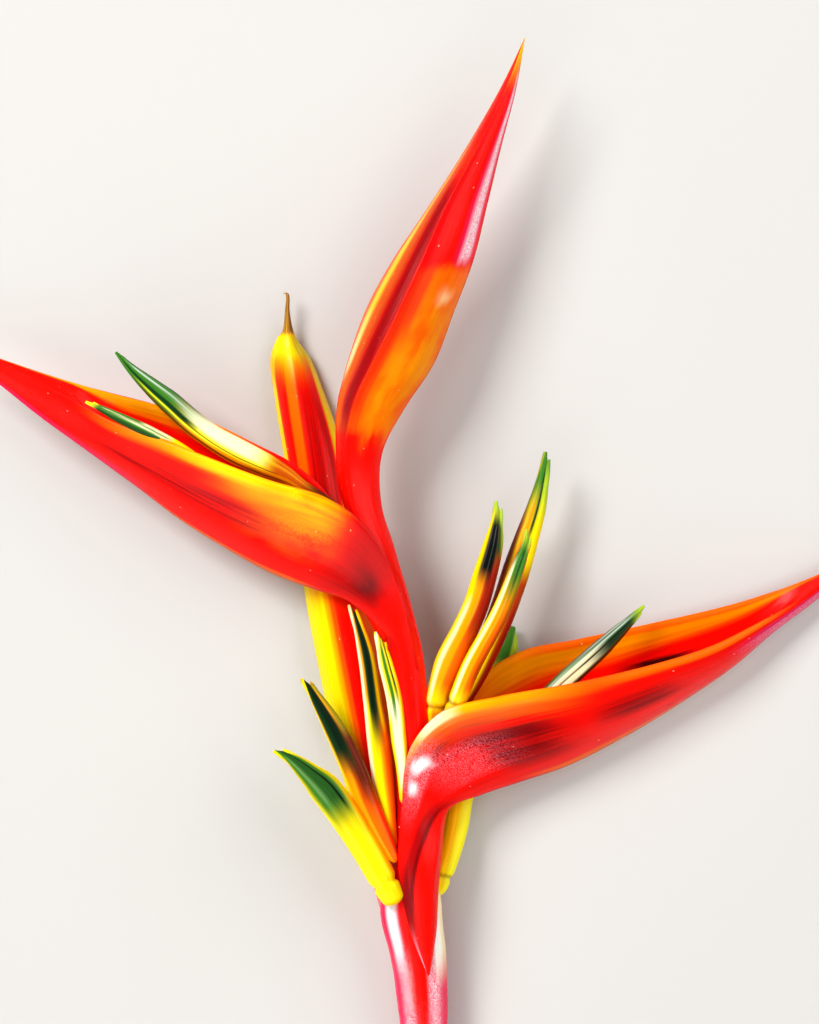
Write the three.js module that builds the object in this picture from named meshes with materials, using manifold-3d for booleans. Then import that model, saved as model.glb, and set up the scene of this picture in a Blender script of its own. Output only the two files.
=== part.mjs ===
// A cut flower of a parrot heliconia, lying on its back on a table.
// Units are millimetres. X runs across the flower, Y along it from the cut end to the top
// bract, and Z up from the table. The camera side of the flower is +Z.
import * as THREE from 'three';
import { mergeVertices } from 'three/addons/utils/BufferGeometryUtils.js';
import Module from 'manifold-3d';

const wasm = await Module();
wasm.setup();

// Driving dimensions
const BRACT_WALL = 1.3;         // flesh of a bract, from its outside to its inside
const CLEARANCE = 0.3;          // between pieces that grow against each other
const FLORET_FLATNESS = 0.85;   // depth of a floret over its width
const WALL_BULGE = 0.13;        // sagitta of a bract's wall over its chord
const TABLE_SIZE = 600;         // wider than the flower

// How finely the surfaces are cut
const WALL_STEPS = 6;
const BRACT_STATIONS = 26;
const FLORET_STATIONS = 14;
const FLORET_SIDES = 10;
const STEM_STATIONS = 26;
const STEM_SIDES = 16;

// Stem and rachis, from the cut end up: x, y, z of the middle, half width and half depth.
// It swells at the node below the lowest bract and at the left cluster, then zigzags up.
const STEM = [
  [4.5, -123, 4.2, 4.6, 4.6],
  [4.5, -99.4, 4.9, 4.6, 4.6],
  [4.5, -77.4, 6.2, 4.6, 4.6],
  [4, -67.4, 7.2, 5.2, 5],
  [3.1, -59, 8.2, 5.7, 5],
  [1.9, -51.4, 9.2, 6.2, 4.8],
  [2.1, -45.4, 9.9, 5.2, 4.5],
  [2.5, -39.4, 10.6, 4.4, 4.2],
  [2.9, -30.4, 11.8, 4, 4],
  [2.5, -21.4, 12.9, 3.8, 3.9],
  [1.5, -9.4, 14, 3.8, 3.8],
  [0.5, 0.6, 14.7, 3.6, 3.6],
  [-1.7, 10.6, 15.3, 3.3, 3.3],
  [-4.5, 19.4, 15.6, 2.9, 2.9],
  [-7.1, 28.2, 15.9, 2, 2],
];

// Each bract is a folded boat. A row is one cross-section: the near edge, the keel and the
// far edge, from the tip of the sheath that runs down the stem to the tip of the bract.
// `pocket` is the stretch, as a share of the rows, where the boat stands open.
const LOWER_RIGHT_BRACT = {
  rows: [
    [[5.1, -64.2, 13.2], [5.3, -64.6, 13.2], [5.7, -64.2, 12.8]],
    [[1.7, -55.4, 14.2], [6.3, -55.4, 14], [7.9, -55, 10.6]],
    [[-0.7, -43, 15.6], [6.9, -42.6, 15.4], [7.9, -42.6, 10]],
    [[0.1, -30.4, 17], [9.1, -31.8, 13.4], [8.7, -30.4, 9]],
    [[1.7, -19, 18.4], [16.1, -28.6, 9.6], [11.3, -19.8, 7.4]],
    [[7.7, -12.4, 19.2], [24.1, -25.8, 7.4], [16.5, -5.4, 6.6]],
    [[19.7, -9.2, 19.4], [33.7, -22.6, 5], [24.1, 0, 5.6]],
    [[34.7, -6.6, 18.2], [45.3, -16.8, 2.6], [35.7, 2.6, 3.8]],
    [[49.7, -3.2, 15.4], [57.7, -9.4, 1.3], [49.7, 5.6, 2.7]],
    [[62.7, 0.8, 12], [68.1, -2.2, 0.9], [62.1, 8.4, 2.3]],
    [[72.7, 5.8, 8.8], [76.5, 5.2, 1.6], [72.7, 11.4, 2.6]],
    [[82.1, 11.8, 6.4], [84.5, 11.2, 2.8], [82.1, 14.8, 3.4]],
    [[93.3, 20, 5.4], [93.3, 20, 5.2], [93.3, 20, 5]],
  ],
  pocket: [0.32, 0.44, 0.78, 0.94],
  closure: 0.05,
};

const MIDDLE_LEFT_BRACT = {
  rows: [
    [[1.9, -12.8, 18], [1.7, -12.6, 17.6], [1.5, -12.2, 17.2]],
    [[2.7, -3, 19.2], [0.1, -5.8, 16.4], [-0.9, -5.4, 12.6]],
    [[1.1, 6.2, 20.2], [-4.3, 4.6, 15.6], [-5.9, 5.8, 11.8]],
    [[-2.3, 17.4, 21.4], [-10.3, 10.2, 14.6], [-11.3, 18.2, 12]],
    [[-8.3, 26.4, 23.2], [-16.7, 12.4, 13], [-14.3, 30.6, 12.2]],
    [[-15.3, 30.6, 23.8], [-25.3, 15.6, 12.4], [-21.3, 37.2, 12.2]],
    [[-26.3, 33.8, 23.2], [-34.3, 20.4, 11.6], [-29.9, 42, 12]],
    [[-37.3, 37.8, 21.6], [-43.9, 26.4, 11], [-39.3, 46.6, 12]],
    [[-48.3, 42.2, 19.4], [-53.3, 33.2, 11], [-48.7, 49.6, 12.4]],
    [[-57.9, 45.8, 17.4], [-62.3, 39.8, 11.8], [-58.7, 52.2, 13]],
    [[-67.3, 51.4, 15.6], [-70.7, 46, 12.6], [-67.5, 54.6, 13.4]],
    [[-78.3, 56.8, 14.2], [-79.5, 53, 12.8], [-78.3, 58.2, 13.4]],
    [[-93.3, 63.6, 13.4], [-93.3, 63.6, 13.2], [-93.3, 63.6, 13]],
  ],
  pocket: [0.32, 0.44, 0.7, 0.84],
  closure: 0.05,
};

const TOP_BRACT = {
  rows: [
    [[4.9, -8.8, 14.6], [5.3, -9, 14.2], [4.9, -8.8, 13.8]],
    [[2.1, -0.4, 18.4], [4.3, -0.4, 14.6], [2.5, -0.4, 11.2]],
    [[-1.9, 10.6, 19.2], [1.5, 11.2, 15.4], [-1.1, 11.4, 11.8]],
    [[-6.3, 21, 20], [-1.3, 21, 16.2], [-7.1, 22.2, 11.6]],
    [[-10.3, 30.6, 20.8], [-4.1, 30, 16.8], [-11.5, 32.2, 12]],
    [[-11.1, 39.6, 21.8], [-3.9, 39.6, 17], [-12.3, 41.6, 12.6]],
    [[-9.5, 49.6, 22.8], [0.5, 48.6, 17], [-12.5, 50.2, 13.4]],
    [[-5.5, 58.2, 23.4], [6.7, 58.2, 16.6], [-10.7, 58.2, 14]],
    [[-0.7, 67.8, 23.6], [10.7, 68.6, 16.2], [-6.7, 69.4, 14.4]],
    [[4.1, 78.2, 23.2], [14.3, 78.6, 16], [-1.9, 78.2, 14.8]],
    [[8.9, 89, 22.2], [17.1, 89.4, 16.2], [4.5, 87.8, 15.6]],
    [[14.9, 100.2, 20.8], [19.9, 101, 16.8], [12.5, 100.2, 16.6]],
    [[20.7, 112.2, 19.2], [22.9, 112.6, 17.4], [19.7, 112.6, 17.4]],
    [[24.7, 123, 18.2], [24.7, 123, 18], [24.7, 123, 17.8]],
  ],
  pocket: null,
  closure: 0.15,
};

// The oldest bract stands behind the others, folded shut with its keel to the camera, and
// ends in a withered point. Its rows run from right edge over keel to left edge.
const BACK_BRACT = {
  rows: [
    [[2.1, -61.8, 3.6], [0.5, -61.8, 4.4], [-1.1, -61.4, 5]],
    [[4.5, -50.4, 3.8], [-0.7, -50.4, 8.4], [-4.7, -50, 7.4]],
    [[2.1, -39.4, 5.2], [-3.3, -39.4, 10], [-7.9, -39, 6.6]],
    [[-0.3, -27.4, 5.4], [-6.3, -27.8, 10.2], [-11.3, -27, 5.8]],
    [[-1.9, -15.8, 5], [-8.7, -16.6, 10.2], [-14.1, -15.4, 5.2]],
    [[-3.3, -5.4, 4.6], [-10.9, -6, 10], [-16.3, -5.2, 4.8]],
    [[-5.9, 7.8, 4.4], [-13.5, 7.4, 9.6], [-19.1, 8.4, 4.4]],
    [[-9.5, 26.6, 4], [-16.9, 25.2, 9.2], [-21.5, 26.6, 4]],
    [[-12.1, 41.6, 3.4], [-19.3, 40.6, 9], [-24.1, 41.2, 3.4]],
    [[-15.7, 52.6, 2.4], [-20.9, 51.4, 8.2], [-25.7, 52.2, 2.4]],
    [[-18.5, 59.4, 2.2], [-21.9, 58.6, 6.8], [-26.5, 59, 2.2]],
    [[-20.7, 62.4, 2.8], [-22.5, 62, 5.4], [-25.1, 63.2, 3]],
    [[-22.1, 64.8, 3.6], [-22.9, 64.8, 4.9], [-23.7, 64.6, 3.6]],
    [[-22.6, 68.6, 4], [-23, 68.6, 4.8], [-23.4, 68.6, 4]],
    [[-23.1, 72.2, 4.5], [-23.1, 72.2, 4.7], [-23.1, 72.2, 4.5]],
  ],
  pocket: null,
  closure: 0.27,
};

// Florets, from the stalk to the tip: x, y, z of the middle and half width.
const FLORETS = {
  floret_left_1: [
    [-1.3, -48.2, 14.8, 1.7],
    [-3.3, -45.4, 15.4, 2.2],
    [-8.1, -37.4, 15.8, 3.2],
    [-14.9, -27.6, 16.2, 3.5],
    [-18.5, -24, 16.6, 2.5],
    [-22.3, -20.8, 17, 1.3],
    [-25.3, -19, 17.2, 0.3],
  ],
  floret_left_2: [
    [-1.1, -41.8, 15.2, 0.9],
    [-4.1, -35.8, 15.4, 1.9],
    [-6.9, -29.8, 15.2, 2.4],
    [-9.7, -23, 15, 2.6],
    [-13.5, -15, 15.2, 2.3],
    [-17.1, -8.8, 15.6, 1.4],
    [-19.5, -4.8, 16, 0.3],
  ],
  floret_left_3: [
    [-1.5, -39.4, 13.6, 0.8],
    [-2.7, -31.8, 13.2, 1.6],
    [-3.7, -25.4, 13, 2.2],
    [-4.5, -18.4, 13, 2.4],
    [-5.7, -10.4, 13, 2],
    [-7.1, -0.4, 13, 1.8],
    [-8.9, 6.2, 13, 1],
    [-10.1, 9.8, 13, 0.3],
  ],
  floret_left_4: [
    [0.3, -30, 15.6, 0.6],
    [0.1, -23, 17, 1.2],
    [-0.5, -17.4, 17.4, 1.6],
    [-1.5, -8.8, 17.4, 1.7],
    [-3.1, -2.4, 16.8, 1.6],
    [-3.9, 1, 16.2, 1.2],
    [-4.5, 4.4, 15.8, 0.3],
  ],
  floret_right_1: [
    [6.3, -15, 14.2, 1.2],
    [6.9, -10.2, 14.6, 2.3],
    [7.5, -7.4, 14.8, 2.3],
    [9.7, -1.4, 15, 2.9],
    [12.5, 4.2, 15, 2.8],
    [14.9, 9.6, 15, 2.7],
    [16.7, 15.6, 15, 2.6],
    [18.3, 21.6, 15, 2.2],
    [19.1, 26.6, 15, 1.2],
    [19.5, 30.4, 15, 0.3],
  ],
  floret_right_2: [
    [7.1, -18.4, 15, 1],
    [9.1, -13.8, 16, 1.3],
    [11.1, -9.4, 17.2, 1.9],
    [13.9, -2.6, 18, 2],
    [19.1, 7, 18.4, 1.9],
    [21.3, 12, 18.4, 1.8],
    [23.5, 18.2, 18.2, 1.5],
    [24.9, 22, 18, 0.9],
    [25.5, 24.6, 18, 0.3],
  ],
  floret_right_3: [
    [7.3, -19, 10.6, 0.9],
    [10.9, -12.2, 10.2, 1.3],
    [14.5, -5.4, 10, 2],
    [17.1, 0.6, 10, 2.4],
    [19.7, 6.8, 10, 2.6],
    [21.7, 12.4, 10, 2.7],
    [23.5, 18, 10.2, 2.6],
    [25.3, 23.6, 10.4, 2.3],
    [26.9, 28.6, 10.6, 1.9],
    [28.3, 34.6, 10.8, 1.2],
    [29.3, 40.2, 11, 0.3],
  ],
  floret_behind: [
    [7.3, -48.8, 9.4, 0.9],
    [8.3, -45, 8.6, 1.7],
    [9.5, -41, 7.6, 2.1],
    [10.9, -35.4, 6, 2.5],
    [12.1, -29, 4.4, 2.5],
    [14.5, -21.4, 2.8, 2.5],
    [17.3, -12.4, 2.1, 2.4],
    [19.7, -4.4, 2, 2.2],
    [21.7, 1.6, 2, 1.6],
    [22.9, 5, 2, 0.3],
  ],
  floret_in_lower_bract: [
    [18.1, -23, 9.6, 0.9],
    [22.1, -17.4, 11, 1.3],
    [27.7, -10.6, 11.4, 1.6],
    [31.7, -6.6, 11.4, 1.7],
    [35.7, -3, 11.2, 1.7],
    [39.7, 0.6, 10.8, 1.6],
    [43.1, 3.8, 10.2, 1.2],
    [46.3, 6.8, 9.6, 0.7],
    [48.9, 9.2, 9.2, 0.3],
  ],
  floret_in_middle_bract_1: [
    [-12.6, 28.9, 17.2, 0.9],
    [-19.7, 33.4, 17.4, 1.2],
    [-23.1, 35.6, 17.2, 1.8],
    [-27.3, 37.6, 17, 2.5],
    [-32.7, 40.2, 17, 2.8],
    [-37.9, 43.2, 17, 2.6],
    [-42.1, 46.4, 17, 2.6],
    [-46.1, 50, 17.2, 2.5],
    [-49.7, 53, 17.4, 2],
    [-53.5, 56.4, 17.8, 1.2],
    [-56.9, 60.2, 18, 0.3],
  ],
  floret_in_middle_bract_2: [
    [-41.1, 39.2, 17.6, 0.8],
    [-44.9, 41.4, 18.4, 1.1],
    [-49.1, 43.6, 18.4, 1.2],
    [-53.3, 45.6, 18.2, 1.2],
    [-57.5, 47.6, 17.9, 1],
    [-60.7, 49.2, 17.6, 0.6],
    [-62.9, 50.4, 17.4, 0.3],
  ],
};

const COLOURS = {
  stem: 0xd5123a,
  bractRed: 0xd81408,
  bractBack: 0xe8920c,
  floret: 0xe7b312,
  floretGreen: 0x9fae2a,
};

// A smooth run through the given points, indexed by their order from 0 to 1.
function smoothEdge(points) {
  const curve = new THREE.CatmullRomCurve3(points.map((p) => new THREE.Vector3(...p)), false, 'centripetal');
  return (t) => curve.getPoint(t);
}

// Joins equal rings of points into one closed body. Both ends close on a point.
function closedLoft(rings, startPoint, endPoint) {
  const sides = rings[0].length;
  const positions = [];
  const push = (a, b, c) => {
    for (const p of [a, b, c]) positions.push(p.x, p.y, p.z);
  };
  for (let side = 0; side < sides; side += 1) {
    const next = (side + 1) % sides;
    push(startPoint, rings[0][next], rings[0][side]);
    push(endPoint, rings[rings.length - 1][side], rings[rings.length - 1][next]);
    for (let row = 0; row + 1 < rings.length; row += 1) {
      const below = rings[row];
      const above = rings[row + 1];
      push(below[side], below[next], above[next]);
      push(below[side], above[next], above[side]);
    }
  }
  const geometry = new THREE.BufferGeometry();
  geometry.setAttribute('position', new THREE.Float32BufferAttribute(positions, 3));
  return mergeVertices(geometry, 1e-4);
}

function toSolid(geometry) {
  const vertProperties = Float32Array.from(geometry.attributes.position.array);
  const triVerts = Uint32Array.from(geometry.index.array);
  const solid = new wasm.Manifold(new wasm.Mesh({ numProp: 3, vertProperties, triVerts }));
  if (solid.volume() > 0) return solid;
  for (let i = 0; i < triVerts.length; i += 3) {
    [triVerts[i], triVerts[i + 1]] = [triVerts[i + 1], triVerts[i]];
  }
  return new wasm.Manifold(new wasm.Mesh({ numProp: 3, vertProperties, triVerts }));
}

function toGeometry(solid) {
  const mesh = solid.getMesh();
  const geometry = new THREE.BufferGeometry();
  geometry.setAttribute('position', new THREE.BufferAttribute(mesh.vertProperties, 3));
  geometry.setIndex(new THREE.BufferAttribute(mesh.triVerts, 1));
  return geometry;
}

function largestPiece(solid) {
  return solid.decompose().reduce((best, piece) => (piece.volume() > best.volume() ? piece : best));
}

// One wall of a folded bract, from its rim to just before the keel, bowed away from the other.
function wallPoints(rim, keel, otherRim, bulge) {
  const chord = keel.clone().sub(rim);
  const outward = rim.clone().add(keel).multiplyScalar(0.5).sub(otherRim);
  outward.addScaledVector(chord, -outward.dot(chord) / chord.lengthSq()).normalize();
  const points = [];
  for (let step = 0; step < WALL_STEPS; step += 1) {
    const s = step / WALL_STEPS;
    const bow = bulge * chord.length() * 4 * s * (1 - s);
    points.push(rim.clone().addScaledVector(chord, s).addScaledVector(outward, bow));
  }
  return points;
}

// One cross-section of a bract: over the outside from near rim to far rim, and back along
// the inside. `open` goes from 0, where the fold is shut, to 1, where the boat is hollow.
function bractRing(near, keel, far, open, closure, grow) {
  const outside = [
    ...wallPoints(near, keel, far, WALL_BULGE),
    keel.clone(),
    ...wallPoints(far, keel, near, WALL_BULGE).reverse(),
  ];
  const mouth = near.clone().add(far).multiplyScalar(0.5);
  const across = far.clone().sub(near);
  const outOfMouth = mouth.clone().sub(keel);
  outOfMouth.addScaledVector(across, -outOfMouth.dot(across) / across.lengthSq()).normalize();
  const inside = [];
  const last = outside.length - 1;
  for (let i = 0; i <= last; i += 1) {
    const height = Math.abs(i - WALL_STEPS) / WALL_STEPS;
    const inward = keel.clone().lerp(mouth, 0.35 + 0.65 * height).sub(outside[i]);
    const reach = inward.length();
    inward.normalize();
    const hollow = outside[i].clone().addScaledVector(inward, Math.min(BRACT_WALL + grow, 0.45 * reach));
    const c = (i + 1) / (last + 2);
    const shut = near.clone().addScaledVector(across, c);
    shut.addScaledVector(outOfMouth, closure * across.length() * 4 * c * (1 - c) + grow);
    inside.push(shut.lerp(hollow, open));
    outside[i].addScaledVector(inward, -grow);
  }
  for (const rim of [outside[0], outside[last], inside[0], inside[last]]) rim.addScaledVector(outOfMouth, grow);
  return [...outside, ...inside.reverse()];
}

function bract({ rows, pocket, closure }, grow = 0) {
  const [nearEdge, keelEdge, farEdge] = [0, 1, 2].map((edge) => smoothEdge(rows.map((row) => row[edge])));
  const rings = [];
  for (let station = 0; station < BRACT_STATIONS; station += 1) {
    const t = station / BRACT_STATIONS;
    const open = pocket
      ? THREE.MathUtils.smoothstep(t, pocket[0], pocket[1]) * (1 - THREE.MathUtils.smoothstep(t, pocket[2], pocket[3]))
      : 0;
    rings.push(bractRing(nearEdge(t), keelEdge(t), farEdge(t), open, closure, grow));
  }
  return toSolid(closedLoft(rings, keelEdge(0), keelEdge(1)));
}

// A tapering limb with an oval section, its width across the view and its depth along Z.
function limb(rows, stations, sides, grow = 0) {
  const middle = smoothEdge(rows.map(([x, y, z]) => [x, y, z]));
  const size = smoothEdge(rows.map(([, , , width, depth]) => [width, depth ?? width * FLORET_FLATNESS, 0]));
  const rings = [];
  for (let station = 0; station < stations; station += 1) {
    const t = station / (stations - 1);
    const centre = middle(t);
    const along = middle(Math.min(t + 0.01, 1)).sub(middle(Math.max(t - 0.01, 0))).normalize();
    const across = new THREE.Vector3(0, 0, 1).cross(along).normalize();
    const upward = along.clone().cross(across);
    const { x: width, y: depth } = size(t);
    const ring = [];
    for (let side = 0; side < sides; side += 1) {
      const angle = (2 * Math.PI * side) / sides;
      ring.push(
        centre.clone()
          .addScaledVector(across, (width + grow) * Math.cos(angle))
          .addScaledVector(upward, (depth + grow) * Math.sin(angle)),
      );
    }
    rings.push(ring);
  }
  const start = middle(0).addScaledVector(middle(0.01).sub(middle(0)).normalize(), -grow);
  const end = middle(1).addScaledVector(middle(1).sub(middle(0.99)).normalize(), grow);
  return toSolid(closedLoft(rings, start, end));
}

const stem = (grow) => limb(STEM, STEM_STATIONS, STEM_SIDES, grow);
const floret = (name, grow) => limb(FLORETS[name], FLORET_STATIONS, FLORET_SIDES, grow);

const underTable = new THREE.BoxGeometry(TABLE_SIZE, TABLE_SIZE, TABLE_SIZE);
underTable.deleteAttribute('normal');
underTable.deleteAttribute('uv');
underTable.translate(0, 0, -TABLE_SIZE / 2);
const table = toSolid(mergeVertices(underTable));

// Everything in growing order: what grew first holds its form, and what leans on it is
// hollowed to clear it.
const solids = {};
const grown = [];

function place(name, solid, clearBody) {
  const cleared = grown.reduce((rest, body) => rest.subtract(body), solid.subtract(table));
  solids[name] = largestPiece(cleared);
  grown.push(clearBody);
}

place('stem_and_rachis', stem(0), stem(CLEARANCE));
place('bract_middle_left', bract(MIDDLE_LEFT_BRACT), bract(MIDDLE_LEFT_BRACT, CLEARANCE));
place('bract_lower_right', bract(LOWER_RIGHT_BRACT), bract(LOWER_RIGHT_BRACT, CLEARANCE));
place('bract_top', bract(TOP_BRACT), bract(TOP_BRACT, CLEARANCE));
place('bract_back', bract(BACK_BRACT), bract(BACK_BRACT, CLEARANCE));
for (const name of Object.keys(FLORETS)) place(name, floret(name, 0), floret(name, CLEARANCE));

function colourOf(name) {
  if (name === 'stem_and_rachis') return COLOURS.stem;
  if (name === 'bract_back') return COLOURS.bractBack;
  if (name.startsWith('bract')) return COLOURS.bractRed;
  return name.includes('_in_') ? COLOURS.floretGreen : COLOURS.floret;
}

const flower = new THREE.Group();
for (const [name, solid] of Object.entries(solids)) {
  const material = new THREE.MeshStandardMaterial({ color: colourOf(name), roughness: 0.35, metalness: 0 });
  const mesh = new THREE.Mesh(toGeometry(solid), material);
  mesh.name = name;
  flower.add(mesh);
}

// The origin is under the middle of the flower, on the table.
const middle = new THREE.Box3().setFromObject(flower).getCenter(new THREE.Vector3());
flower.position.set(-middle.x, -middle.y, 0);

export default flower;
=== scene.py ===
import bmesh
import bpy
import math
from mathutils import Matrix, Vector, noise


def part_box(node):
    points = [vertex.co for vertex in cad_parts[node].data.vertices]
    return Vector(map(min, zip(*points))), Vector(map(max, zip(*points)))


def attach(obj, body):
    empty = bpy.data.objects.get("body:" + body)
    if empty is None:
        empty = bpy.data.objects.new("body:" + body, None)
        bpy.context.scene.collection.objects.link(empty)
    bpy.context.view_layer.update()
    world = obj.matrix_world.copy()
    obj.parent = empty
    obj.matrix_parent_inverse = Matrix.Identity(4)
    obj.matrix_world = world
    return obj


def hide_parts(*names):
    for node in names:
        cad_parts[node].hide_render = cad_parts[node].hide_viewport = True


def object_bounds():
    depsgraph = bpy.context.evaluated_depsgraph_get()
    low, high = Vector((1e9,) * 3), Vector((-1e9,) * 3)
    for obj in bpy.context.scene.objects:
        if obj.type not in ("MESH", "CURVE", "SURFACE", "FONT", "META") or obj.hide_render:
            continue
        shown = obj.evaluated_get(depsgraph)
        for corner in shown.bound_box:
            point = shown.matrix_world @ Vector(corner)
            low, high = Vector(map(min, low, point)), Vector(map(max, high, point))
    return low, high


# A cut parrot heliconia lying on a pale table, seen from above.
# The dictionaries hold millimetres, and the meshes metres.

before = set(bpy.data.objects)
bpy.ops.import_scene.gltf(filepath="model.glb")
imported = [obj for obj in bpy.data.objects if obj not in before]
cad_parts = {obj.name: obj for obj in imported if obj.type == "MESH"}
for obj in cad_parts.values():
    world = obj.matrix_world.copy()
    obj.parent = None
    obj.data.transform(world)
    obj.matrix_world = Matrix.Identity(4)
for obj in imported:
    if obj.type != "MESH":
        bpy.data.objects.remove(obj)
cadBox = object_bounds()
mm = 0.001

# The rows below are drawn before the flower is centred, with the stem cut at this Y.
stemEndY = -123
shift = Vector((0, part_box("stem_and_rachis")[0].y - stemEndY * mm, 0))

palette = {
    "scarlet": "#fb0a02", "crimson": "#cc0306", "wine": "#8e0408", "maroon": "#440206",
    "rose": "#f51e56", "blush": "#ff9eae", "orange": "#ff6400", "amber": "#ff9a00",
    "yellow": "#ffe000", "lemon": "#fff61e", "cream": "#fff4bc", "white": "#ffffff",
    "leaf": "#3a7a1c", "deepGreen": "#0c3414", "black": "#070a07", "lime": "#a6c426",
    "olive": "#8a8a0a", "brown": "#5e2406", "rust": "#b03a04", "straw": "#e0a83a",
    "silver": "#c8d4c0", "pith": "#e8dcae", "floor": "#c6c4c0", "sage": "#6f8f5c", "clay": "#a8502c",
    "magenta": "#d8106a",
}


def colour(name):
    # The palette's sRGB hex value, turned to linear
    channels = [int(palette[name][i:i + 2], 16) / 255 for i in (1, 3, 5)]
    return tuple(c / 12.92 if c <= 0.04045 else ((c + 0.055) / 1.055) ** 2.4 for c in channels) + (1,)


# Materials

add, subtract, multiply, multiplyAdd = [
    {"operation": kind} for kind in ("ADD", "SUBTRACT", "MULTIPLY", "MULTIPLY_ADD")
]


def addNode(tree, kind, settings=None, inputs=None):
    # An input is a value, a socket to link, or a node whose first output is linked
    made = tree.nodes.new(kind)
    for key, value in (settings or {}).items():
        setattr(made, key, value)
    for key, value in (inputs or {}).items():
        if isinstance(value, bpy.types.Node):
            value = value.outputs[0]
        if isinstance(value, bpy.types.NodeSocket):
            tree.links.new(value, made.inputs[key])
        else:
            made.inputs[key].default_value = value
    return made


def patch(tint, **look):
    # A marking: its ranges on the skin's axes, its strength, ragged edge and lean, and how soft it is
    return {"tint": tint, **look}


# Cells are millimetres across and along, and a seed. An edge is where a pattern starts and where it is full.
cuticle = {
    "streakCells": (0.9, 22, 1.7), "blotchCells": (5, 9, 5.1), "dustCells": (3.5, 3.5, 2.9),
    "speckleStretch": 1.4, "speckleSeed": 9.3, "coarseDetail": 3.0, "fineDetail": 1.0,
    "coarseEdge": (0.35, 0.62), "fineEdge": (0.45, 0.6), "dustEdge": (0.03, 0.06), "shadeEdge": (0.3, 0.7),
    "dustStrength": 0.6, "dustFrom": 0.7, "veinShade": (0.88, 1.06), "grain": 0.25,
    "glossChange": (-0.05, 0.07),
}


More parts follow.
